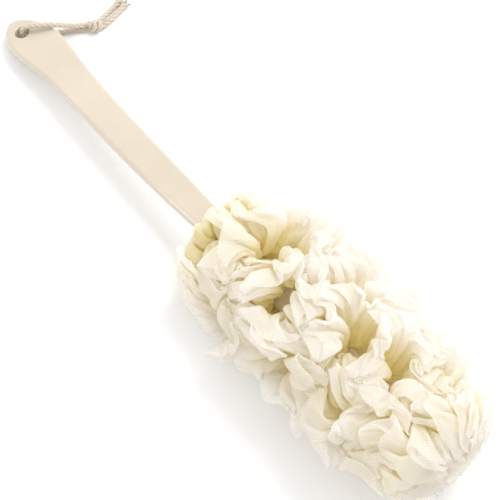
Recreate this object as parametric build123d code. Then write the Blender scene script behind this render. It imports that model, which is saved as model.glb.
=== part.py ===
"""Long-handled back scrubber with a gathered netting head, lying on a flat surface.

Units are millimetres, +Z is up and the surface is z = 0. +X runs from the grip to the head.
The origin is under the middle of the scrubber, measured without its hanging cord.
"""

from build123d import *
import math
import os

# Overall
TOTAL_LENGTH = 390.0
TIP_X = -TOTAL_LENGTH / 2

# Side profile of the handle: a straight shaft that rises to the head, and a drooping grip end
SHAFT_SLOPE = 4.7
BEND_X = -125.0
BEND_Z = 18.0
DROOP_RADIUS = 320.0
GRIP_THICKNESS = 7.5
GRIP_EDGE_RADIUS = 2.2

# Plan outline of the grip: distance from the tip, and distance from the centreline
OUTLINE_TIP_Y = -0.5
OUTLINE_PLUS_Y = [(12.0, 12.8), (30.0, 16.2), (50.0, 14.0), (75.0, 11.6), (105.0, 10.3), (145.0, 9.4)]
OUTLINE_MINUS_Y = [(9.0, -10.0), (24.0, -12.6), (48.0, -10.6), (75.0, -10.3), (105.0, -10.7), (145.0, -10.4)]
NECK_FROM_TIP = 189.2
NECK_HALF_WIDTH = 8.4

# Hanging hole, square to the face of the drooping end
HOLE_X = -182.0
HOLE_DIAMETER = 9.0
HOLE_EDGE_RADIUS = 0.8

# Core that carries the netting, one moulding with the grip, and its notches and end stop
CORE_WIDTH = 14.0
CORE_THICKNESS = 5.0
CORE_EDGE_RADIUS = 1.2
CORE_OVERLAP = 6.0
NOTCH_DEPTH = 1.6
NOTCH_LENGTH = 5.0
STOP_WIDTH = 20.0
STOP_HEIGHT = 10.0
STOP_THICKNESS = 2.4

# Netting bundles in order from the neck, along the shaft from the bend
HEAD_START = 120.4
BUNDLE_PITCH = 24.8
BUNDLE_GAP = 0.5
BUNDLE_RADII = [36.5, 41.0, 43.5, 44.5, 44.5, 43.5, 41.5, 37.5]
BUNDLE_RIM_RADIUS = 7.0
BORE_CLEARANCE = 0.3
HEAD_LENGTH = BUNDLE_PITCH * len(BUNDLE_RADII)

# Binding ties, one wound round the netting of each bundle in the core's notches
TIE_SECTION = 2.0
TIE_LENGTH = 3.0
TIE_EDGE_RADIUS = 0.8
TIE_CLEARANCE = 0.3

# Hanging cord: through the hole, and both legs to the knot beside the grip
CORD_DIAMETER = 3.5
CORD_ROUTE = [
    (-164.8, 33.8, 5.9),
    (-167.4, 28.6, 7.0),
    (-168.9, 22.2, 13.0),
    (-172.6, 14.6, 17.6),
    (-178.2, 7.6, 17.2),
    (-184.1, 0.0, 15.8),
    (-180.3, 0.0, 1.9),
    (-176.6, 8.0, 1.85),
    (-172.2, 15.4, 1.85),
    (-169.2, 22.6, 1.85),
    (-166.3, 28.6, 1.85),
    (-163.4, 33.6, 2.2),
]
KNOT_START = (-165.2, 33.0, 4.15)
KNOT_END = (-156.8, 44.2, 4.15)
KNOT_DIAMETER = 8.2
KNOT_END_RADIUS = 3.4
TAIL_ROUTES = [
    [(-158.4, 41.8, 3.0), (-157.2, 47.6, 2.2), (-157.9, 55.6, 1.85), (-160.2, 64.6, 1.85)],
    [(-161.0, 42.0, 5.6), (-161.6, 48.2, 3.9), (-162.3, 55.4, 1.85), (-164.6, 62.8, 1.85)],
]

# Share of the shorter run that each arc of a cord takes
CORD_ARC_SHARE = 0.45


def along_shaft(distance):
    """Place +X on the shaft's line, at a distance past the bend towards the head."""
    return Pos(BEND_X, 0, BEND_Z) * Rot(0, -SHAFT_SLOPE, 0) * Pos(distance, 0, 0)


def droop_angle(x):
    """Angle turned along the grip's droop from the bend to the given x."""
    slope = math.radians(SHAFT_SLOPE)
    return math.asin((BEND_X - x) / DROOP_RADIUS + math.sin(slope)) - slope


def droop_point(angle, height):
    """Point of the droop in the XZ plane, height above the centre of the bar's thickness."""
    total = math.radians(SHAFT_SLOPE) + angle
    centre_x = BEND_X + DROOP_RADIUS * math.sin(math.radians(SHAFT_SLOPE))
    centre_z = BEND_Z - DROOP_RADIUS * math.cos(math.radians(SHAFT_SLOPE))
    radius = DROOP_RADIUS + height
    return (centre_x - radius * math.sin(total), centre_z + radius * math.cos(total))


def shaft_point(distance, height):
    """Point of the straight shaft in the XZ plane."""
    slope = math.radians(SHAFT_SLOPE)
    x = BEND_X + distance * math.cos(slope) - height * math.sin(slope)
    z = BEND_Z + distance * math.sin(slope) + height * math.cos(slope)
    return (x, z)


def side_profile_band():
    """The bar's thickness seen from the side, wide enough in Y for the whole outline."""
    half = GRIP_THICKNESS / 2
    past_tip = droop_angle(TIP_X) + 0.03
    past_neck = NECK_FROM_TIP
    top = [droop_point(past_tip * k / 2, half) for k in (2, 1, 0)]
    under = [droop_point(past_tip * k / 2, -half) for k in (0, 1, 2)]
    with BuildSketch(Plane.XZ) as band:
        with BuildLine():
            ThreePointArc(*top)
            Line(top[2], shaft_point(past_neck, half))
            Line(shaft_point(past_neck, half), shaft_point(past_neck, -half))
            Line(shaft_point(past_neck, -half), under[0])
            ThreePointArc(*under)
            Line(under[2], top[0])
        make_face()
    return extrude(band.sketch, amount=3 * NECK_HALF_WIDTH, both=True)


def grip_outline():
    """Plan outline of the grip, from the tip to the neck, as a tall prism."""
    neck_x = TIP_X + NECK_FROM_TIP
    neck = [(neck_x, NECK_HALF_WIDTH), (neck_x, -NECK_HALF_WIDTH)]
    plus_side = [(TIP_X + d, y) for d, y in reversed(OUTLINE_PLUS_Y)]
    minus_side = [(TIP_X + d, y) for d, y in OUTLINE_MINUS_Y]
    with BuildSketch(Plane.XY) as outline:
        with BuildLine():
            Spline(neck[0], *plus_side, (TIP_X, OUTLINE_TIP_Y), *minus_side, neck[1])
            Line(neck[1], neck[0])
        make_face()
    return extrude(outline.sketch, amount=60)


def make_grip():
    """Flat contoured bar with rounded edges and the hanging hole."""
    bar = side_profile_band() & grip_outline()
    neck_face = bar.faces().sort_by(Axis.X)[-1]
    long_edges = [e for e in bar.edges().filter_by(GeomType.LINE, reverse=True) if e.length > 5]
    neck_edges = neck_face.edges()
    rounded = [e for e in long_edges if e not in neck_edges]
    bar = fillet(rounded, GRIP_EDGE_RADIUS)
    angle = droop_angle(HOLE_X)
    x, z = droop_point(angle, 0)
    tilt = -SHAFT_SLOPE - math.degrees(angle)
    bar -= Pos(x, 0, z) * Rot(0, tilt, 0) * Cylinder(HOLE_DIAMETER / 2, 4 * GRIP_THICKNESS)
    rims = [e for e in bar.edges() if is_hole_rim(e, x)]
    return fillet(rims, HOLE_EDGE_RADIUS)


def is_hole_rim(edge, x):
    """True for the two edges where the hanging hole meets the faces."""
    box = edge.bounding_box()
    near = abs(box.center().X - x) < HOLE_DIAMETER / 2
    return near and box.size.X < 1.5 * HOLE_DIAMETER and box.size.Y > 0.8 * HOLE_DIAMETER


def rounded_bar(width, height, length, edge_radius):
    """Bar along +X from the origin with four rounded edges."""
    bar = Pos(length / 2, 0, 0) * Box(length, width, height)
    return fillet(bar.edges().filter_by(Axis.X), edge_radius)


def bundle_middle(index):
    """Distance of a bundle's middle past the bend."""
    return HEAD_START + BUNDLE_PITCH * (index + 0.5)


def make_core():
    """Notched bar through the head, with an end stop, in the shaft's own frame."""
    core = rounded_bar(CORE_WIDTH, CORE_THICKNESS, HEAD_LENGTH + CORE_OVERLAP - 1, CORE_EDGE_RADIUS)
    core = Pos(HEAD_START - CORE_OVERLAP, 0, 0) * core
    for index in range(len(BUNDLE_RADII)):
        for side in (-1, 1):
            cut = Box(NOTCH_LENGTH, 2 * NOTCH_DEPTH, 2 * CORE_THICKNESS)
            core -= Pos(bundle_middle(index), side * CORE_WIDTH / 2, 0) * cut
    stop = rounded_bar(STOP_WIDTH, STOP_HEIGHT, STOP_THICKNESS, CORE_EDGE_RADIUS)
    stop_at = HEAD_START + HEAD_LENGTH - STOP_THICKNESS - 1
    return core + Pos(stop_at, 0, 0) * stop


def make_tie(index):
    """Two turns of binding cord pulled down into the notches, drawn as one band."""
    inner_width = CORE_WIDTH - 2 * NOTCH_DEPTH
    inner_height = CORE_THICKNESS
    outer = rounded_bar(
        inner_width + 2 * TIE_SECTION, inner_height + 2 * TIE_SECTION, TIE_LENGTH, TIE_EDGE_RADIUS
    )
    inner = Pos(TIE_LENGTH / 2, 0, 0) * Box(2 * TIE_LENGTH, inner_width, inner_height)
    return Pos(bundle_middle(index) - TIE_LENGTH / 2, 0, 0) * (outer - inner)


def make_bundle(index):
    """One gathered bundle of netting as a plain rounded disc, still without its flat underside."""
    width = BUNDLE_PITCH - BUNDLE_GAP
    middle = bundle_middle(index)
    disc = Rot(0, 90, 0) * Cylinder(BUNDLE_RADII[index], width)
    disc = fillet(disc.edges().filter_by(GeomType.CIRCLE), BUNDLE_RIM_RADIUS)
    bore_width = CORE_WIDTH + 2 * BORE_CLEARANCE
    bore_height = CORE_THICKNESS + 2 * BORE_CLEARANCE
    disc -= Box(2 * BUNDLE_PITCH, bore_width, bore_height)
    room_width = CORE_WIDTH - 2 * NOTCH_DEPTH + 2 * TIE_SECTION + 2 * TIE_CLEARANCE
    room_height = CORE_THICKNESS + 2 * TIE_SECTION + 2 * TIE_CLEARANCE
    disc -= Box(TIE_LENGTH + 2 * TIE_CLEARANCE, room_width, room_height)
    if index == len(BUNDLE_RADII) - 1:
        stop_room = 2 * (STOP_THICKNESS + 1.5)
        stop_clear = 2 * BORE_CLEARANCE
        room = Box(stop_room, STOP_WIDTH + stop_clear, STOP_HEIGHT + stop_clear)
        disc -= Pos(width / 2, 0, 0) * room
    return Pos(middle, 0, 0) * disc


def above_surface(solid):
    """Keep what is above z = 0, so that soft netting lies flat on the surface."""
    size = 2 * TOTAL_LENGTH
    return solid & Pos(0, 0, size / 2) * Box(size, size, size)


def cord_tube(name, route):
    """Round cord through the route's points: straight runs joined by tangent arcs."""
    points = [Vector(*p) for p in route]
    radii = []
    for before, here, after in zip(points, points[1:], points[2:]):
        arriving = here - before
        leaving = after - here
        half_turn = math.radians(arriving.get_angle(leaving)) / 2
        shorter = min(arriving.length, leaving.length)
        radii.append(CORD_ARC_SHARE * shorter / math.tan(half_turn))
    path = FilletPolyline(*points, radius=radii)
    section = Plane(path @ 0, z_dir=path % 0) * Circle(CORD_DIAMETER / 2)
    tube = sweep(section, path=path)
    ratio = tube.volume / (path.length * math.pi * CORD_DIAMETER**2 / 4)
    print(name, "length", round(path.length, 1), "volume over section x length", round(ratio, 4))
    print("  radii", [round(r, 1) for r in radii])
    return tube


def make_knot():
    """Outer shape of the overhand knot."""
    start = Vector(*KNOT_START)
    end = Vector(*KNOT_END)
    length = (end - start).length
    barrel = Pos(0, 0, length / 2) * Cylinder(KNOT_DIAMETER / 2, length)
    barrel = fillet(barrel.edges().filter_by(GeomType.CIRCLE), KNOT_END_RADIUS)
    return Plane(start, z_dir=end - start) * barrel


def write(name, shape):
    """Write one node."""
    shape.label = name
    export_step(shape, os.path.join("parts", name + ".step"))


def main():
    os.makedirs("parts", exist_ok=True)
    shaft = along_shaft(0)
    write("handle", make_grip() + shaft * make_core())
    for index in range(len(BUNDLE_RADII)):
        write(f"mesh_bundle_{index + 1}", above_surface(shaft * make_bundle(index)))
        write(f"binding_tie_{index + 1}", shaft * make_tie(index))
    write("hanging_cord", cord_tube("hanging_cord", CORD_ROUTE))
    write("cord_knot", make_knot())
    for number, route in enumerate(TAIL_ROUTES, start=1):
        name = f"cord_tail_{number}"
        write(name, cord_tube(name, route))


main()
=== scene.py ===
"""The looks of a netting back scrubber: a glossy ivory handle, gathered netting and a cotton hanging cord."""

import math

import bpy
import numpy as np
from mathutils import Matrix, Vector


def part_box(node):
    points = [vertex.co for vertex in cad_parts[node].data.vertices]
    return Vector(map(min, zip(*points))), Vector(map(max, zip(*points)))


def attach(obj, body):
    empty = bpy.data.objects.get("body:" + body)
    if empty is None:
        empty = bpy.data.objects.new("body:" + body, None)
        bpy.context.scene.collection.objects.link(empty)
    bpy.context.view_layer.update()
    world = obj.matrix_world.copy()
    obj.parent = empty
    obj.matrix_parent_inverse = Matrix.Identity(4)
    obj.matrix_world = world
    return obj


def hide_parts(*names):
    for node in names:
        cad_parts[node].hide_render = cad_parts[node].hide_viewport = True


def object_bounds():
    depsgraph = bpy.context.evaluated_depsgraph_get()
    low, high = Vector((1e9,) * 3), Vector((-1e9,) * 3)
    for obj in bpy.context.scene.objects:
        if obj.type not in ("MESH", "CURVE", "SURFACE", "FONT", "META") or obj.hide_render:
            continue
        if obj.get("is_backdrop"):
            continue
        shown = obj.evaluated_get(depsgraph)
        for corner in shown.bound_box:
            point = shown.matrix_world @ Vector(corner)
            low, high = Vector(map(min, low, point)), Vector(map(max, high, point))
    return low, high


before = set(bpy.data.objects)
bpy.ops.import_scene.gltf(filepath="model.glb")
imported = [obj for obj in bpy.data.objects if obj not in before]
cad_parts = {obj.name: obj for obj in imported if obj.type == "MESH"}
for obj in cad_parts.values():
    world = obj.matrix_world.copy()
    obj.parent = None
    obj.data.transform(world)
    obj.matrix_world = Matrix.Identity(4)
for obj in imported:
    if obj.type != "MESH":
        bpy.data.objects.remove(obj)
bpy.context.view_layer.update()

# ---- camera and light -------------------------------------------------------------------------

CAMERA_TARGET = Vector((0.0246, 0.0055, 0.030))
CAMERA_AZIMUTH = 49.2
CAMERA_ELEVATION = 66.6
CAMERA_DISTANCE = 1.0
CAMERA_LENS = 126.6

KEY_PLACE = Vector((-0.05, 0.70, 1.00))
KEY_SIZE = 0.7
KEY_POWER = 10.5
EDGE_PLACE = Vector((-0.45, -0.85, 0.58))
EDGE_SIZE = 0.14
EDGE_POWER = 2.0
SKY_STRENGTH = 1.02
FLOOR_SIZE = 6.0

# ---- the hanging cord -----------------------------------------------------------------------------
# The points are the CAD part's, in metres, but for the loop's lower leg and the tails past the knot, which
# were moved by up to 3.2 mm to follow the photograph.

CORD_DIAMETER = 0.0035
CORD_ROUTE = [
    (-0.1648, 0.0338, 0.0059),
    (-0.1674, 0.0286, 0.0070),
    (-0.1689, 0.0222, 0.0130),
    (-0.1726, 0.0146, 0.0176),
    (-0.1782, 0.0076, 0.0172),
    (-0.1841, 0.0000, 0.0158),
    (-0.1803, 0.0000, 0.0019),
    (-0.1782, 0.0090, 0.00185),
    (-0.1748, 0.0172, 0.00185),
    (-0.1710, 0.0240, 0.00185),
    (-0.1673, 0.0293, 0.00190),
    (-0.1638, 0.0338, 0.0023),
]
KNOT_START = Vector((-0.1652, 0.0330, 0.00415))
KNOT_END = Vector((-0.1568, 0.0442, 0.00415))
TAIL_ROUTES = [
    [
        (-0.1584, 0.0418, 0.0030),
        (-0.1586, 0.0478, 0.0022),
        (-0.1598, 0.0560, 0.00215),
        (-0.1614, 0.0644, 0.00245),
    ],
    [
        (-0.1610, 0.0420, 0.0056),
        (-0.1630, 0.0484, 0.0039),
        (-0.1645, 0.0556, 0.00215),
        (-0.1659, 0.0624, 0.00245),
    ],
]


def spline_line(name, route):
    """The points of the smooth NURBS line that has the route's points as its control points."""
    curve = bpy.data.curves.new(name, "CURVE")
    curve.dimensions = "3D"
    curve.resolution_u = 24
    spline = curve.splines.new("NURBS")
    spline.points.add(len(route) - 1)
    for point, place in zip(spline.points, route):
        point.co = (*place, 1.0)
    spline.order_u = 3
    spline.use_endpoint_u = True
    holder = bpy.data.objects.new(name, curve)
    mesh = bpy.data.meshes.new_from_object(holder)
    line = np.array([v.co for v in mesh.vertices], float).reshape(-1, 3)
    bpy.data.objects.remove(holder)
    bpy.data.curves.remove(curve)
    bpy.data.meshes.remove(mesh)
    return line


def distances(line):
    """How far along the line each of its points is."""
    return np.concatenate([[0], np.cumsum(np.linalg.norm(np.diff(line, axis=0), axis=1))])


def evenly(line, step):
    """The same line with its points about one step apart."""
    run = distances(line)
    at = np.linspace(0, run[-1], max(4, int(round(run[-1] / step)) + 1))
    return np.stack([np.interp(at, run, line[:, axis]) for axis in range(3)], axis=1)


def cross_directions(line):
    """Two directions across the line at each of its points, turning no more than the line does."""
    along = np.gradient(line, axis=0)
    along /= np.linalg.norm(along, axis=1, keepdims=True)
    start = np.cross(along[0], (0.0, 0.0, 1.0))
    if np.linalg.norm(start) < 0.1:
        start = np.cross(along[0], (1.0, 0.0, 0.0))
    first = [start / np.linalg.norm(start)]
    for direction in along[1:]:
        side = first[-1] - direction * (first[-1] @ direction)
        first.append(side / np.linalg.norm(side))
    first = np.array(first)
    return first, np.cross(along, first)


class Shell:
    """Vertices, faces and texture places gathered for one mesh."""

    def __init__(self):
        self.points, self.faces, self.places = [], [], []
        self.count = 0

    def add_tube(self, line, radius, sides=10):
        """A closed tube round the line. Radius is one number or one for each point."""
        first, second = cross_directions(line)
        radius = np.broadcast_to(radius, len(line))
        turn = np.linspace(0, 2 * math.pi, sides, endpoint=False)
        ring = np.cos(turn)[None, :, None] * first[:, None] + np.sin(turn)[None, :, None] * second[:, None]
        points = line[:, None] + radius[:, None, None] * ring
        run = distances(line)
        base, n = self.count, len(line)
        self.points.extend(points.reshape(-1, 3))
        for i in range(n - 1):
            for j in range(sides):
                k = (j + 1) % sides
                corners = (i * sides + j, i * sides + k, (i + 1) * sides + k, (i + 1) * sides + j)
                self.faces.append([base + c for c in corners])
                left, right = j / sides, (j + 1) / sides
                self.places += [(left, run[i]), (right, run[i]), (right, run[i + 1]), (left, run[i + 1])]
        self.count += n * sides
        for i, order in ((0, -1), (n - 1, 1)):
            self.faces.append([base + i * sides + j for j in range(sides)][::order])
            self.places += [(j / sides, run[i]) for j in range(sides)]

    def make(self, name, material):
        """The gathered mesh as a named piece in the scene."""
        mesh = bpy.data.meshes.new(name)
        mesh.from_pydata([tuple(p) for p in self.points], [], self.faces)
        layer = mesh.uv_layers.new(name="UVMap")
        layer.data.foreach_set("uv", np.array(self.places, np.float32).ravel())
        mesh.polygons.foreach_set("use_smooth", [True] * len(mesh.polygons))
        mesh.materials.append(material)
        mesh.update()
        piece = bpy.data.objects.new(name, mesh)
        bpy.context.scene.collection.objects.link(piece)
        return piece


STRANDS = 3
STRAND_SHARE = 0.54
LAY_LENGTH = 0.0105
ROPE_STEP = 0.0004
LOOSE_END = 0.006


def strand_lines(line, diameter, start_turn=0.0, loosen=0.0):
    """The middle lines of the rope's strands, which wind round the line and open out towards its end."""
    line = evenly(line, ROPE_STEP)
    run = distances(line)
    first, second = cross_directions(line)
    radius = 0.5 * diameter * (1 - STRAND_SHARE)
    share = np.clip((run - run[-1] + LOOSE_END) / LOOSE_END, 0, 1)
    radius = radius * (1 + loosen * share ** 2)
    lines = []
    for strand in range(STRANDS):
        turn = start_turn + 2 * math.pi * (run / LAY_LENGTH + strand / STRANDS)
        outward = np.cos(turn)[:, None] * first + np.sin(turn)[:, None] * second
        lines.append(line + radius[:, None] * outward)
    return lines


def add_rope(shell, line, diameter, start_turn=0.0, loosen=0.0):
    """Adds a rope's strands to the shell and returns their middle lines."""
    strands = strand_lines(line, diameter, start_turn, loosen)
    for strand in strands:
        shell.add_tube(strand, 0.5 * diameter * STRAND_SHARE)
    return strands


# ---- materials ----------------------------------------------------------------------------------

class Nodes:
    """A small helper that makes nodes and joins them."""

    def __init__(self, name):
        self.material = bpy.data.materials.new(name)
        self.material.use_nodes = True
        self.tree = self.material.node_tree
        self.tree.nodes.clear()
        self.output = self.tree.nodes.new("ShaderNodeOutputMaterial")

    def new(self, kind, inputs=None, **settings):
        node = self.tree.nodes.new("ShaderNode" + kind)
        for key, value in settings.items():
            setattr(node, key, value)
        for key, value in (inputs or {}).items():
            if isinstance(value, bpy.types.NodeSocket):
                self.tree.links.new(value, node.inputs[key])
            else:
                node.inputs[key].default_value = value
        return node

    def math(self, operation, first, second=0.0):
        node = self.new("Math", {0: first, 1: second}, operation=operation)
        return node.outputs[0]

    def ramp(self, factor, stops):
        node = self.new("ValToRGB", {0: factor})
        elements = node.color_ramp.elements
        elements[0].position, elements[0].color = stops[0][0], (*stops[0][1], 1)
        elements[1].position, elements[1].color = stops[-1][0], (*stops[-1][1], 1)
        for position, colour in stops[1:-1]:
            elements.new(position).color = (*colour, 1)
        return node.outputs[0]

    def mix(self, factor, first, second, blend="MIX"):
        node = self.new("MixRGB", {0: factor, 1: first, 2: second}, blend_type=blend)
        return node.outputs[0]

    def noise(self, scale, detail=3.0, roughness=0.5, vector=None):
        inputs = {"Scale": scale, "Detail": detail, "Roughness": roughness}
        if vector is not None:
            inputs["Vector"] = vector
        return self.new("TexNoise", inputs).outputs["Fac"]

    def bump(self, height, strength, distance, normal=None):
        inputs = {"Height": height, "Strength": strength, "Distance": distance}
        if normal is not None:
            inputs["Normal"] = normal
        return self.new("Bump", inputs).outputs[0]

    def spread(self, value, low, high, to_low, to_high):
        """The value carried over from one range to another and held within it."""
        inputs = {"Value": value, "From Min": low, "From Max": high, "To Min": to_low, "To Max": to_high}
        return self.new("MapRange", inputs).outputs[0]

    def grey(self, value):
        return self.new("CombineColor", {0: value, 1: value, 2: value}).outputs[0]

    def finish(self, shader):
        self.tree.links.new(shader, self.output.inputs["Surface"])
        return self.material


def plastic_material():
    """Glossy moulded ivory plastic with faint flow clouds, a fine orange peel and a few hairline scuffs."""
    m = Nodes("ivory_plastic_finish")
    place = m.new("TexCoord").outputs["Object"]
    clouds = m.noise(22.0, 4.0, 0.55, place)
    colour = m.ramp(clouds, [(0.30, (0.525, 0.455, 0.360)), (0.72, (0.570, 0.505, 0.415))])
    long_way = m.new("Mapping", {"Vector": place, "Scale": (0.35, 5.0, 5.0)}).outputs[0]
    scuffs = m.noise(420.0, 6.0, 0.7, long_way)
    rough = m.spread(scuffs, 0.35, 0.75, 0.14, 0.26)
    peel = m.noise(700.0, 1.0, 0.4, place)
    normal = m.bump(peel, 0.05, 0.00005)
    normal = m.bump(scuffs, 0.03, 0.00003, normal)
    shader = m.new("BsdfPrincipled", {
        "Base Color": colour,
        "Roughness": rough,
        "Normal": normal,
        "IOR": 1.49,
        "Subsurface Weight": 0.25,
        "Subsurface Radius": (1.0, 0.75, 0.5),
        "Subsurface Scale": 0.004,
        "Coat Weight": 0.5,
        "Coat Roughness": 0.05,
    })
    return m.finish(shader.outputs[0])


RIB_PERIOD = 0.0014
STRIP_UNIT = 0.05
# The netting's painted shade: END_SHADE sets how fast it pales past the end ties, the shares weigh the row,
# the reach from the shaft and the clouds.
END_SHADE = 4.5
ROW_SHARE = 0.35
REACH_SHARE = 0.65
CLOUD_SHARE = 0.22


def painted_shade_depth(m, place, row, head_start, along_head, head_radius, first_tie, last_tie):
    """How far out the netting is, which sets its painted shade: low deep in the head, high at its outside,
    its ends and the rims.
    """
    from_start = m.new("VectorMath", {0: place, 1: head_start}, operation="SUBTRACT").outputs[0]
    sideways = m.new("VectorMath", {0: from_start, 1: along_head}, operation="CROSS_PRODUCT").outputs[0]
    radius = m.new("VectorMath", {0: sideways}, operation="LENGTH").outputs["Value"]
    run = m.new("VectorMath", {0: from_start, 1: along_head}, operation="DOT_PRODUCT").outputs["Value"]
    between_ties = m.new("Clamp", {"Value": run, "Min": first_tie, "Max": last_tie}).outputs[0]
    past_ties = m.math("MULTIPLY", m.math("SUBTRACT", run, between_ties), END_SHADE)
    squares = m.math("ADD", m.math("MULTIPLY", radius, radius), m.math("MULTIPLY", past_ties, past_ties))
    reach = m.math("SQRT", squares)
    clouds = m.noise(45.0, 3.0, 0.6, place)
    from_row = m.math("MULTIPLY", row, ROW_SHARE)
    from_reach = m.math("MULTIPLY", reach, REACH_SHARE / head_radius)
    from_clouds = m.math("MULTIPLY", m.math("SUBTRACT", clouds, 0.5), CLOUD_SHARE)
    return m.math("ADD", m.math("ADD", from_row, from_reach), from_clouds)


def knit_height(m, flat_place):
    """The height of the knit: ribs across the strip, under two crossed sets of slanting threads."""
    place = m.new("SeparateXYZ", {0: flat_place})
    along, row = place.outputs[0], place.outputs[1]
    turns = 2 * math.pi * STRIP_UNIT / RIB_PERIOD
    wobble = m.math("MULTIPLY", m.noise(6.0, 2.0, 0.5, flat_place), 6.0)
    rib = m.math("SINE", m.math("ADD", m.math("MULTIPLY", along, turns), wobble))
    half_along, full_row = m.math("MULTIPLY", along, turns / 2), m.math("MULTIPLY", row, turns)
    lean = m.math("SINE", m.math("ADD", half_along, full_row))
    back = m.math("SINE", m.math("SUBTRACT", half_along, full_row))
    knit = m.math("MAXIMUM", lean, back)
    return m.math("ADD", m.math("MULTIPLY", rib, 0.45), m.math("MULTIPLY", knit, 0.55))


def netting_material(head_start, along_head, head_radius, first_tie, last_tie):
    """Soft sheer netting with fine crossed ribs, and painted shade: white outside and at the rims, yellower
    and darker deep inside the head and in the knit's grooves.
    """
    m = Nodes("netting_with_painted_shade")
    flat_place = m.new("UVMap", uv_map="UVMap").outputs[0]
    row = m.new("SeparateXYZ", {0: flat_place}).outputs[1]
    place = m.new("TexCoord").outputs["Object"]
    shade = painted_shade_depth(m, place, row, head_start, along_head, head_radius, first_tie, last_tie)
    # Painted shade: from darker yellow deep among the folds to the netting's own cream white at the outside
    # and the rims.
    colour = m.ramp(shade, [
        (0.38, (0.988, 0.900, 0.520)),
        (0.62, (0.985, 0.930, 0.700)),
        (0.80, (0.982, 0.948, 0.850)),
        (0.94, (0.980, 0.958, 0.925)),
    ])
    blush = m.noise(18.0, 2.0, 0.5, place)
    colour = m.mix(m.math("MULTIPLY", blush, 0.25), colour, (1.000, 0.960, 0.920, 1), "MULTIPLY")
    weave = knit_height(m, flat_place)
    # Painted shade: the knit's low grooves between the threads are darkened by up to 4 per cent.
    colour = m.mix(1.0, colour, m.grey(m.spread(weave, -0.8, 0.5, 0.96, 1.0)), "MULTIPLY")
    normal = m.bump(weave, 0.35, 0.0004)
    front = m.new("BsdfPrincipled", {
        "Base Color": colour,
        "Roughness": 0.75,
        "Normal": normal,
        "Sheen Weight": 0.25,
        "Sheen Roughness": 0.4,
    })
    through = m.new("BsdfTranslucent", {"Color": colour, "Normal": normal})
    thread = m.new("MixShader", {0: 0.60, 1: front.outputs[0], 2: through.outputs[0]})
    hollow = m.new("BsdfTransparent")
    holes = m.spread(weave, -0.8, 0.6, 0.42, 0.24)
    net = m.new("MixShader", {0: holes, 1: thread.outputs[0], 2: hollow.outputs[0]})
    inside = m.new("NewGeometry").outputs["Backfacing"]
    sheet = m.new("MixShader", {0: inside, 1: net.outputs[0], 2: hollow.outputs[0]})
    return m.finish(sheet.outputs[0])


def cotton_material(name, dark, light, twist):
    """Twisted cotton: fine fibre lines that wind round each strand, with painted shade in the grooves between
    them, a soft sheen and uneven colour.
    """
    m = Nodes(name)
    place = m.new("SeparateXYZ", {0: m.new("UVMap", uv_map="UVMap").outputs[0]})
    round_way = m.math("MULTIPLY", place.outputs[0], 2 * math.pi * 6)
    long_way = m.math("MULTIPLY", place.outputs[1], twist)
    fibre = m.math("SINE", m.math("ADD", round_way, long_way))
    object_place = m.new("TexCoord").outputs["Object"]
    fuzz = m.noise(2600.0, 4.0, 0.7, object_place)
    height = m.math("ADD", m.math("MULTIPLY", fibre, 0.5), fuzz)
    patches = m.noise(160.0, 3.0, 0.6, object_place)
    colour = m.mix(patches, (*dark, 1), (*light, 1))
    # Painted shade: the grooves between the fibre lines are darkened by up to 14 per cent.
    colour = m.mix(1.0, colour, m.grey(m.spread(fibre, -1.0, 0.4, 0.86, 1.0)), "MULTIPLY")
    shader = m.new("BsdfPrincipled", {
        "Base Color": colour,
        "Roughness": 0.88,
        "Normal": m.bump(height, 0.6, 0.00025),
        "Sheen Weight": 0.35,
        "Sheen Roughness": 0.5,
        "Subsurface Weight": 0.15,
        "Subsurface Radius": (1.0, 0.8, 0.6),
        "Subsurface Scale": 0.0015,
    })
    return m.finish(shader.outputs[0])


def floor_material():
    m = Nodes("floor_finish")
    shader = m.new("BsdfPrincipled", {"Base Color": (0.90, 0.90, 0.90, 1), "Roughness": 0.9})
    return m.finish(shader.outputs[0])


# ---- the hanging cord, its knot and its tails -------------------------------------------------------

CORD_TWIST = 2 * math.pi / 0.0016
cotton = cotton_material("cotton_cord_with_painted_groove_shade", (0.56, 0.47, 0.37), (0.67, 0.58, 0.48), CORD_TWIST)


def make_cord():
    """The loop through the hanging hole, and the line that it follows."""
    line = spline_line("cord_line", CORD_ROUTE)
    shell = Shell()
    add_rope(shell, line, CORD_DIAMETER)
    rope = shell.make("cord_rope", cotton)
    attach(rope, "cord_loop")
    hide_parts("hanging_cord")
    return rope, line


KNOT_WRAP_RADIUS = 0.0023
KNOT_WRAP_TURNS = 2.6
KNOT_STRAND = 0.0034
KNOT_TUCK = 0.10
KNOT_SLANT = 0.0011
KNOT_WRAP_START = 0.0030
KNOT_BARE_LENGTH = 0.0056
KNOT_LEG_SHARE = 0.94
KNOT_LEG_LEAN = 0.0006


def knot_wrap_line():
    """The wrapping turns of the knot: out of the middle, round the two legs, and back under the last turn."""
    axis = (KNOT_END - KNOT_START).normalized()
    side = axis.cross(Vector((0, 0, 1))).normalized()
    up = side.cross(axis)
    length = (KNOT_END - KNOT_START).length
    points = []
    for share in np.linspace(0, 1, 90):
        ends = min(1.0, share / KNOT_TUCK, (1 - share) / KNOT_TUCK)
        radius = KNOT_WRAP_RADIUS * (0.25 + 0.75 * math.sin(0.5 * math.pi * ends))
        turn = 2 * math.pi * KNOT_WRAP_TURNS * share + 0.9
        slant = KNOT_SLANT * math.sin(turn + 0.6)
        run = KNOT_WRAP_START + (length - KNOT_BARE_LENGTH) * share + slant
        points.append(KNOT_START + axis * run + radius * (math.cos(turn) * side + math.sin(turn) * up))
    return np.array(points)


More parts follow.
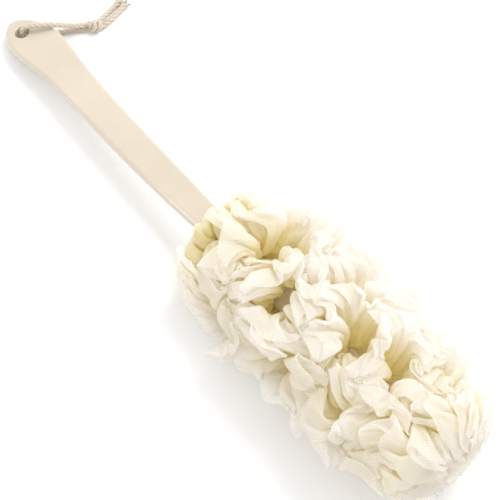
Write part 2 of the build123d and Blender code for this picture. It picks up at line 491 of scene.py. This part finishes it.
def make_knot(cord_line):
    """The wrapping turns, and the two legs that run through them from the loop to the tails."""
    shell = Shell()
    add_rope(shell, knot_wrap_line(), KNOT_STRAND, 0.4)
    legs = (
        (cord_line[0], TAIL_ROUTES[1][0], KNOT_LEG_LEAN),
        (cord_line[-1], TAIL_ROUTES[0][0], -KNOT_LEG_LEAN),
    )
    for end, tail, lean in legs:
        middle = (Vector(end) + Vector(tail)) / 2 + Vector((0, 0, lean))
        leg = spline_line("leg", [tuple(end), tuple(middle), tail])
        add_rope(shell, leg, CORD_DIAMETER * KNOT_LEG_SHARE)
    knot = shell.make("cord_knot_turns", cotton)
    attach(knot, "cord_loop")
    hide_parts("cord_knot")
    return knot


FRAY_FIBRES = 13
FRAY_LENGTH = 0.0038
FRAY_RADIUS = 0.00013
FRAY_SCATTER = 0.00042
FRAY_ROOT = 0.0007
FRAY_SPLAY = 0.30
FRAY_DROOP = 0.0012
FRAY_POINTS = 7
TAIL_LOOSENING = 0.8


def add_fray(shell, strands, random):
    """Fine cotton ends that splay out of the cut end of each strand, kept off the floor."""
    for strand in strands:
        tip, direction = strand[-1], strand[-1] - strand[-6]
        direction = direction / np.linalg.norm(direction)
        for _ in range(FRAY_FIBRES):
            start = tip + random.normal(0, FRAY_SCATTER, 3) - direction * FRAY_ROOT
            aim = direction + random.normal(0, FRAY_SPLAY, 3)
            share = np.linspace(0, 1, FRAY_POINTS)[:, None]
            length = FRAY_LENGTH * random.uniform(0.45, 1.0)
            droop = np.array((0, 0, -FRAY_DROOP)) * random.uniform(0, 1)
            fibre = start + aim * length * share + droop * share ** 2
            fibre[:, 2] = np.maximum(fibre[:, 2], FRAY_RADIUS * 1.5)
            shell.add_tube(fibre, FRAY_RADIUS * np.linspace(1, 0.45, FRAY_POINTS), sides=5)


def make_tail(number, route, random):
    """One cut end of the cord beyond the knot, with its strands opening out."""
    shell = Shell()
    line = spline_line("tail_line", route)
    strands = add_rope(shell, line, CORD_DIAMETER, 0.7 * number, TAIL_LOOSENING)
    add_fray(shell, strands, random)
    tail = shell.make(f"cord_tail_rope_{number}", cotton)
    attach(tail, "cord_loop")
    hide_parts(f"cord_tail_{number}")
    return tail


random = np.random.default_rng(11)
rope, rope_line = make_cord()
knot = make_knot(rope_line)
tails = [make_tail(n + 1, route, random) for n, route in enumerate(TAIL_ROUTES)]


# ---- the netting's places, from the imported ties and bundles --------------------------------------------

BUNDLES = 8
tie_boxes = [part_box(f"binding_tie_{n + 1}") for n in range(BUNDLES)]
bundle_boxes = [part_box(f"mesh_bundle_{n + 1}") for n in range(BUNDLES)]
tie_middles = np.array([(low + high) / 2 for low, high in tie_boxes])
ALONG = tie_middles[-1] - tie_middles[0]
PITCH = float(np.linalg.norm(ALONG)) / (BUNDLES - 1)
ALONG = ALONG / np.linalg.norm(ALONG)
ACROSS = np.array((0.0, 1.0, 0.0))
ABOVE = np.cross(ALONG, ACROSS)
HEAD_START = tie_middles[0] - 0.5 * PITCH * ALONG
CENTRES = (np.arange(BUNDLES) + 0.5) * PITCH
RADII = np.array([0.5 * (high.y - low.y) for low, high in bundle_boxes])


def to_frame(local):
    """Points given along the shaft, across it and above it, as points of the shared frame."""
    return HEAD_START + local[..., :1] * ALONG + local[..., 1:2] * ACROSS + local[..., 2:] * ABOVE


# ---- the netting: a strip gathered under each tie, grown into ruffles by a cloth solver ------------------

NETTING_SEED = 12
STRIP_POINTS = 560
ROWS = 16
STRIP_DEPTH = 0.055
STRIP_GROWTH = 6.6
GROWTH_POWER = 0.95
GATHER_SHARE = 0.25
TIE_REACH = 0.0065
START_SHARE = 0.72
LAYER_GAP = 0.0029
BENDING = 0.10
SOLVER_STEPS = 220
KEPT_SPEED = 0.85
OUTLINE_FIRMNESS = 0.08
LOBE_DEPTH = 0.02
LUMP_DEPTH = 0.07
NEAR_DOME = 0.007
FAR_DOME = 0.018
BULGE_DEPTH = 0.22
BULGE_ANGLE = 1.3
LEAST_RADIUS = 0.0075
REST_GAP = 0.0008
WAVE_DEPTH = 0.003
WAVE_ROUGHNESS = 0.0004
LUMPS = 5
GROWING_SHARE = 0.6
LENGTH_PASSES = 3
STEPS_BETWEEN_SEARCHES = 4
SEARCH_REACH = 1.3
OWN_CLOTH_GAP = 1.7
MEAN_RADIUS = float(RADII.mean())


def starting_strips(random):
    """Each strip as a flat disc round its tie, with a few slight waves for the ruffles to grow from."""
    rows = np.linspace(0, 1, ROWS)
    turn = np.linspace(0, 2 * np.pi, STRIP_POINTS, endpoint=False)
    strips = np.zeros((BUNDLES, STRIP_POINTS, ROWS, 3))
    for strip, centre, radius in zip(strips, CENTRES, RADII):
        wander = sum(
            random.normal() / n * np.sin(n * turn + random.uniform(0, 2 * np.pi))
            for n in range(1, 6)
        )
        waves = random.integers(9, 13)
        wave = WAVE_DEPTH * np.sin(waves * turn + random.uniform(0, 2 * np.pi) + 1.5 * wander)
        wave += WAVE_ROUGHNESS * random.normal(size=STRIP_POINTS)
        reach = TIE_REACH + START_SHARE * radius * rows
        strip[..., 0] = centre + wave[:, None] * rows
        strip[..., 1] = np.sin(turn)[:, None] * (reach + 0.0016)
        strip[..., 2] = np.cos(turn)[:, None] * (reach - 0.0012)
    return strips


def pull(first, second, length, share):
    """The half move that brings two neighbours towards their proper distance."""
    gap = second - first
    size = np.sqrt((gap * gap).sum(-1, keepdims=True)) + 1e-9
    return 0.5 * share * (size - length) / size * gap


def hold_lengths(strips, around, across):
    """Neighbours along the strip and across it are pulled back to their proper distances."""
    for odd in (0, 1):
        rolled = np.roll(strips, -odd, 1)
        move = pull(rolled[:, 0::2], rolled[:, 1::2], around[None, None, :, None], 0.9)
        rolled[:, 0::2] += move
        rolled[:, 1::2] -= move
        strips[...] = np.roll(rolled, odd, 1)
        count = (ROWS - odd) // 2 * 2
        first, second = strips[:, :, odd:odd + count:2], strips[:, :, odd + 1:odd + count:2]
        move = pull(first, second, across, 0.9)
        first += move
        second -= move


def soften(strips, share):
    """Bending stiffness: each point moves a little towards the middle of its neighbours."""
    strips += share * (0.5 * (np.roll(strips, 1, 1) + np.roll(strips, -1, 1)) - strips)
    middle = 0.5 * (strips[:, :, :-2] + strips[:, :, 2:])
    strips[:, :, 1:-1] += 0.7 * share * (middle - strips[:, :, 1:-1])


def near_pairs(points, cell):
    """Every pair of points that are less than one cell apart, found on a grid of such cells."""
    grid = np.floor((points - points.min(0)) / cell).astype(np.int64) + 1
    size = grid.max(0) + 2
    key = (grid[:, 0] * size[1] + grid[:, 1]) * size[2] + grid[:, 2]
    order = np.argsort(key, kind="stable")
    key = key[order]
    count = np.bincount(key, minlength=int(size.prod()))
    first = np.concatenate([[0], np.cumsum(count)])
    near = (-1, 0, 1)
    steps = [(x, y, z) for x in near for y in near for z in near if (x, y, z) >= (0, 0, 0)]
    left, right = [], []
    for x, y, z in steps:
        other = key + (x * size[1] + y) * size[2] + z
        begin, number = first[other], count[other]
        if (x, y, z) == (0, 0, 0):
            begin = np.arange(len(key)) + 1
            number = first[key + 1] - begin
        a = np.repeat(np.arange(len(key)), number)
        b = np.arange(len(a)) - np.repeat(np.cumsum(number) - number, number) + np.repeat(begin, number)
        left.append(order[a])
        right.append(order[b])
    left, right = np.concatenate(left), np.concatenate(right)
    gap = points[right] - points[left]
    close = (gap * gap).sum(1) < cell * cell
    return left[close], right[close]


def push_apart(points, left, right):
    """Layers that come closer than the layer gap push each other away."""
    gap = points[right] - points[left]
    size = np.sqrt((gap * gap).sum(1)) + 1e-9
    push = 0.3 * np.maximum(LAYER_GAP - size, 0) / size
    touching = push > 0
    total = len(points)
    number = np.bincount(left[touching], minlength=total) + np.bincount(right[touching], minlength=total)
    for axis in range(3):
        move = push * gap[:, axis]
        moved = np.bincount(right, weights=move, minlength=total)
        moved -= np.bincount(left, weights=move, minlength=total)
        points[:, axis] += moved / np.sqrt(np.maximum(number, 1))


def keep_inside(strips, lumps):
    """Draws the netting in to a lobed outline with domed ends, off the shaft and above the surface.

    The outline is fuller than the CAD discs on one side, by up to BULGE_DEPTH, and isn't a hard limit, so
    the netting stands well outside its discs there. That is an open fault.
    """
    x, y, z = strips[..., 0], strips[..., 1], strips[..., 2]
    radius = np.hypot(y, z) + 1e-9
    angle = np.arctan2(y, z)
    limit = np.interp(x, CENTRES, RADII) * (1 + LOBE_DEPTH * np.cos(2 * np.pi * (x / PITCH - 0.5)))
    limit *= 1 + BULGE_DEPTH * np.maximum(np.cos(angle - BULGE_ANGLE), 0)
    for count, start, rate, offset in lumps:
        limit *= 1 + LUMP_DEPTH * np.sin(count * angle + start + 2 * np.sin(rate * x + offset))
    past = x - np.clip(x, CENTRES[0], CENTRES[-1])
    dome = np.where(past < 0, NEAR_DOME, FAR_DOME)
    beyond = np.sqrt((past / dome) ** 2 + (radius / limit) ** 2)
    over = OUTLINE_FIRMNESS * np.maximum(1 - 1 / beyond, 0)
    under = np.maximum(LEAST_RADIUS - radius, 0) / radius
    strips[..., 0] -= over * past
    strips[..., 1] += (under - over) * y
    strips[..., 2] += (under - over) * z
    floor = -(HEAD_START[2] + strips[..., 0] * ALONG[2]) / ABOVE[2] + REST_GAP
    strips[..., 2] = np.maximum(strips[..., 2], floor)


def grow_netting():
    """The eight strips after their rims have grown to full length, drawn in to the head's outline."""
    random = np.random.default_rng(NETTING_SEED)
    strips = starting_strips(random)
    lumps = [(random.integers(2, 6), random.uniform(0, 2 * np.pi), random.uniform(40, 120),
              random.uniform(0, 2 * np.pi)) for _ in range(LUMPS)]
    held, last = strips[:, :, 0].copy(), strips.copy()
    rows = np.linspace(0, 1, ROWS)
    shape = (BUNDLES, STRIP_POINTS, ROWS)
    strip, column, row = (np.ravel(a) for a in np.indices(shape))
    steps = SOLVER_STEPS
    start_around = 2 * np.pi * (TIE_REACH + START_SHARE * MEAN_RADIUS * rows) / STRIP_POINTS
    full = GATHER_SHARE + (STRIP_GROWTH - GATHER_SHARE) * rows ** GROWTH_POWER
    full_around = np.maximum(2 * np.pi * MEAN_RADIUS / STRIP_POINTS * full, start_around)
    for step in range(steps):
        grown = min(1.0, step / (GROWING_SHARE * steps))
        around = start_around + (full_around - start_around) * grown
        across = (START_SHARE * MEAN_RADIUS * (1 - grown) + STRIP_DEPTH * grown) / (ROWS - 1)
        strips, last = strips + KEPT_SPEED * (strips - last), strips.copy()
        for _ in range(LENGTH_PASSES):
            hold_lengths(strips, around, across)
        soften(strips, BENDING)
        points = strips.reshape(-1, 3)
        if step % STEPS_BETWEEN_SEARCHES == 0:
            left, right = near_pairs(points, LAYER_GAP * SEARCH_REACH)
            apart = np.abs(column[left] - column[right])
            apart = np.minimum(apart, STRIP_POINTS - apart) * around[np.minimum(row[left], row[right])]
            apart = apart + np.abs(row[left] - row[right]) * across
            other = (strip[left] != strip[right]) | (apart > OWN_CLOTH_GAP * LAYER_GAP)
            left, right = left[other], right[other]
        push_apart(points, left, right)
        keep_inside(strips, lumps)
        strips[:, :, 0] = held
    return strips


# ---- the netting's mesh --------------------------------------------------------------------------------

SHEET_THICKNESS = 0.0005
HEM_THICKNESS = 0.0011
HEM_WIDTH = 0.0022
HEM_ROWS = 3


def refined(points, axis, closed):
    """One step of smooth subdivision along one side of a grid of points."""
    rows = np.moveaxis(points, axis, 0)
    between = 0.5 * (rows + np.roll(rows, -1, 0))
    smoothed = 0.125 * (np.roll(rows, 1, 0) + 6 * rows + np.roll(rows, -1, 0))
    if not closed:
        smoothed[0], smoothed[-1] = rows[0], rows[-1]
    finer = np.empty((2 * len(rows),) + rows.shape[1:])
    finer[0::2], finer[1::2] = smoothed, between
    if not closed:
        finer = finer[:-1]
    return np.moveaxis(finer, 0, axis)


def unit(vectors):
    return vectors / (np.linalg.norm(vectors, axis=-1, keepdims=True) + 1e-12)


def sheet_section(sheet):
    """The sheet's closed cross section: out along one face, round the hem, and back along the other."""
    around = np.roll(sheet, -1, 0) - np.roll(sheet, 1, 0)
    outward = np.gradient(sheet, axis=1)
    normal = unit(np.cross(around, outward))
    rows = np.linspace(0, 1, sheet.shape[1])
    hem = np.clip((rows - 1 + HEM_WIDTH / STRIP_DEPTH) / (HEM_WIDTH / STRIP_DEPTH), 0, 1)
    half = 0.5 * (SHEET_THICKNESS + (HEM_THICKNESS - SHEET_THICKNESS) * hem)[None, :, None]
    front, back = sheet + half * normal, sheet - half * normal
    rim, tip, side = sheet[:, -1], unit(outward[:, -1]), normal[:, -1]
    turns = np.pi * (np.arange(1, HEM_ROWS + 1) / (HEM_ROWS + 1))
    roll = [rim + 0.5 * HEM_THICKNESS * (math.cos(t) * side + math.sin(t) * tip) for t in turns]
    return np.concatenate([front, np.stack(roll, axis=1), back[:, ::-1]], axis=1)


def closed_grid_faces(count, length):
    """Four-sided faces over a grid of points that closes on itself both ways."""
    index = np.arange(count * length).reshape(count, length)
    following = np.roll(index, -1, 0)
    corners = [index, following, np.roll(following, -1, 1), np.roll(index, -1, 1)]
    return np.stack(corners, axis=-1).reshape(-1, 4)


def flat_places(faces, rows, count, length, rim_length):
    """Each face corner's place on the flat strip: along it in strip units, and across it from 0 to 1."""
    step = rim_length / count / STRIP_UNIT
    along = np.repeat(np.arange(count), length) * step
    places = np.stack([along[faces], np.tile(rows, count)[faces]], axis=-1)
    last = faces[:, 0] >= (count - 1) * length
    places[last, 1:3, 0] = count * step
    closing = (faces[:, 0] % length) == length - 1
    places[closing, :, 1] = 0.0
    return places


def netting_piece(number, strip, rim_length, material):
    """One strip as a smooth closed sheet with a rolled hem."""
    fine = refined(refined(to_frame(strip), 0, True), 1, False)
    section = sheet_section(fine)
    count, length = section.shape[:2]
    out = np.linspace(0, 1, fine.shape[1])
    rows = np.concatenate([out, np.ones(HEM_ROWS), out[::-1]])
    faces = closed_grid_faces(count, length)
    mesh = bpy.data.meshes.new(f"netting_{number}")
    mesh.vertices.add(count * length)
    mesh.vertices.foreach_set("co", section.astype(np.float32).ravel())
    mesh.loops.add(faces.size)
    mesh.loops.foreach_set("vertex_index", faces.astype(np.int32).ravel())
    mesh.polygons.add(len(faces))
    mesh.polygons.foreach_set("loop_start", np.arange(0, faces.size, 4, dtype=np.int32))
    mesh.polygons.foreach_set("use_smooth", [True] * len(faces))
    mesh.update(calc_edges=True)
    mesh.validate()
    layer = mesh.uv_layers.new(name="UVMap")
    places = flat_places(faces, rows, count, length, rim_length)
    layer.data.foreach_set("uv", places.astype(np.float32).ravel())
    mesh.materials.append(material)
    piece = bpy.data.objects.new(f"netting_{number}", mesh)
    bpy.context.scene.collection.objects.link(piece)
    return piece


def strip_sizes(strip):
    """The strip's depth and rim length in metres, and its area, measured along the cloth."""
    around = np.roll(strip, -1, 0) - strip
    outward = np.diff(strip, axis=1)
    rim = np.linalg.norm(around[:, -1], axis=-1).sum()
    depth = np.linalg.norm(outward, axis=-1).sum(axis=1).mean()
    area = np.linalg.norm(np.cross(around[:, :-1], outward), axis=-1).sum()
    return float(depth), float(rim), float(area)


strips = grow_netting()
netting = netting_material(HEAD_START, ALONG, MEAN_RADIUS, CENTRES[0], CENTRES[-1])
for n, strip in enumerate(strips):
    depth, rim, area = strip_sizes(strip)
    piece = netting_piece(n + 1, strip, rim, netting)
    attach(piece, "scrubber")
    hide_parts(f"mesh_bundle_{n + 1}")

# ---- the ties: a thin cord wound round the core under each bundle ------------------------------------------

TIE_CORD = 0.0011
TIE_TURNS = 3
TIE_TWIST = 2 * math.pi / 0.0009
TIE_INSET = 0.0002
tie_thread = cotton_material("binding_cord_with_painted_groove_shade", (0.74, 0.68, 0.56), (0.84, 0.79, 0.69), TIE_TWIST)


def tie_line(middle, half_width, half_height):
    """Three turns side by side round a flat bar with rounded corners."""
    points = []
    for share in np.linspace(0, 1, 48 * TIE_TURNS + 1):
        turn = 2 * math.pi * TIE_TURNS * share
        c, s = math.cos(turn), math.sin(turn)
        across = half_width * math.copysign(abs(c) ** 0.5, c)
        above = half_height * math.copysign(abs(s) ** 0.5, s)
        along = (share - 0.5) * TIE_CORD * (TIE_TURNS - 0.2)
        points.append(middle + along * ALONG + across * ACROSS + above * ABOVE)
    return np.array(points)


for n, (low, high) in enumerate(tie_boxes):
    half_width = 0.5 * (high.y - low.y) - 0.5 * TIE_CORD
    half_height = 0.5 * (high.z - low.z) - 0.5 * TIE_CORD - TIE_INSET
    shell = Shell()
    add_rope(shell, tie_line(tie_middles[n], half_width, half_height), TIE_CORD)
    tie = shell.make(f"tie_cord_{n + 1}", tie_thread)
    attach(tie, "scrubber")
    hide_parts(f"binding_tie_{n + 1}")

# ---- the handle, the floor, the light and the camera ----------------------------------------------------

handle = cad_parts["handle"]
for slot in handle.material_slots:
    slot.material = plastic_material()

floor_mesh = bpy.data.meshes.new("floor")
reach = FLOOR_SIZE / 2
corners = [(-reach, -reach, 0), (reach, -reach, 0), (reach, reach, 0), (-reach, reach, 0)]
floor_mesh.from_pydata(corners, [], [(0, 1, 2, 3)])
floor_mesh.materials.append(floor_material())
floor = bpy.data.objects.new("floor", floor_mesh)
bpy.context.scene.collection.objects.link(floor)
floor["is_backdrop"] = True


def add_light(name, place, size, power):
    """A square soft light that faces the camera's target."""
    light = bpy.data.lights.new(name, "AREA")
    light.size = size
    light.energy = power
    lamp = bpy.data.objects.new(name, light)
    lamp.location = place
    lamp.rotation_euler = (CAMERA_TARGET - place).to_track_quat("-Z", "Y").to_euler()
    bpy.context.scene.collection.objects.link(lamp)


add_light("key", KEY_PLACE, KEY_SIZE, KEY_POWER)
add_light("edge", EDGE_PLACE, EDGE_SIZE, EDGE_POWER)

world = bpy.data.worlds.new("studio")
world.use_nodes = True
sky = world.node_tree.nodes["Background"]
sky.inputs["Color"].default_value = (1, 1, 1, 1)
sky.inputs["Strength"].default_value = SKY_STRENGTH
bpy.context.scene.world = world
bpy.context.scene.view_settings.view_transform = "Standard"
bpy.context.scene.cycles.max_bounces = 16
bpy.context.scene.cycles.diffuse_bounces = 8
bpy.context.scene.cycles.transparent_max_bounces = 16

azimuth, elevation = math.radians(CAMERA_AZIMUTH), math.radians(CAMERA_ELEVATION)
towards_camera = Vector((math.sin(azimuth) * math.cos(elevation), -math.cos(azimuth) * math.cos(elevation),
                         math.sin(elevation)))
camera_data = bpy.data.cameras.new("camera")
camera_data.lens = CAMERA_LENS
camera_data.clip_end = 20.0
camera = bpy.data.objects.new("camera", camera_data)
camera.location = CAMERA_TARGET + CAMERA_DISTANCE * towards_camera
camera.rotation_euler = (-towards_camera).to_track_quat("-Z", "Y").to_euler()
bpy.context.scene.collection.objects.link(camera)
bpy.context.scene.camera = camera

low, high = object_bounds()
